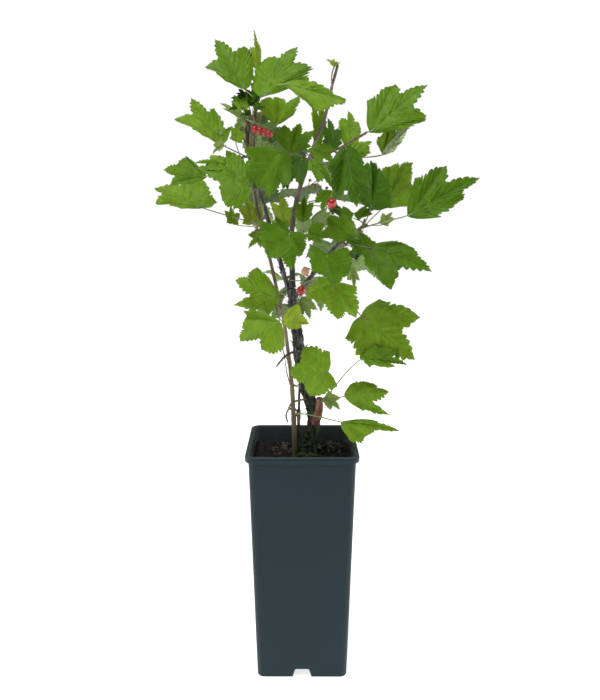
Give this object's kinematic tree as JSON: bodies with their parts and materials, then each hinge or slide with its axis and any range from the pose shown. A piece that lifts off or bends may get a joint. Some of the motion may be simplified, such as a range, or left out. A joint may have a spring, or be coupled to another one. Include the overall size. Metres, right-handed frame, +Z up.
{
  "type": "potted rovada red currant",
  "caption": "Young red currant bush with woody stems, lobed leaves and ripening berries, standing in a tall square tapered nursery pot.",
  "frame": {"origin": "middle of the box of the whole plant at the level of the pot's underside, within 4 mm of the middle of the pot's foot", "axes": "+Z up along the pot's axis, +X to the right in the front view, -Y towards the viewer of the front view"},
  "size_m": [0.3185, 0.2094, 0.6479],
  "materials": {
    "slate_plastic": "satin, slate blue-grey",
    "compost": "matt, crumbly dark brown",
    "old_bark": "matt grey-black peeling bark",
    "young_bark": "smooth olive-brown bark",
    "brown_bark": "smooth brown bark",
    "cut_wood": "matt reddish-brown cut wood",
    "leaf": "satin green leaf"
  },
  "bodies": {
    "root": {"pot": "slate_plastic", "compost": "compost", "old_stem": "old_bark", "young_cane": "young_bark", "left_bough": "old_bark", "right_shoot": "brown_bark", "right_bough": "old_bark", "side_twig": "old_bark", "pruned_stub": "cut_wood", "dried_twig": "old_bark", "bare_twig": "old_bark", "tip_leaves": "leaf", "tuft_leaves": "leaf", "left_leaves": "leaf", "far_left_leaves": "leaf", "front_leaves": "leaf", "upper_middle_leaves": "leaf", "shoot_leaves": "leaf", "twig_leaves": "leaf", "right_top_leaves": "leaf", "right_leaves": "leaf", "far_right_leaves": "leaf", "right_low_leaves": "leaf", "middle_leaves": "leaf", "low_left_leaves": "leaf", "low_right_leaves": "leaf", "foot_leaves": "leaf", "back_top_leaves": "leaf", "back_left_leaves": "leaf", "back_middle_leaves": "leaf", "back_shoot_leaves": "leaf", "back_right_leaves": "leaf", "back_low_leaves": "leaf"}
  },
  "joints": []
}
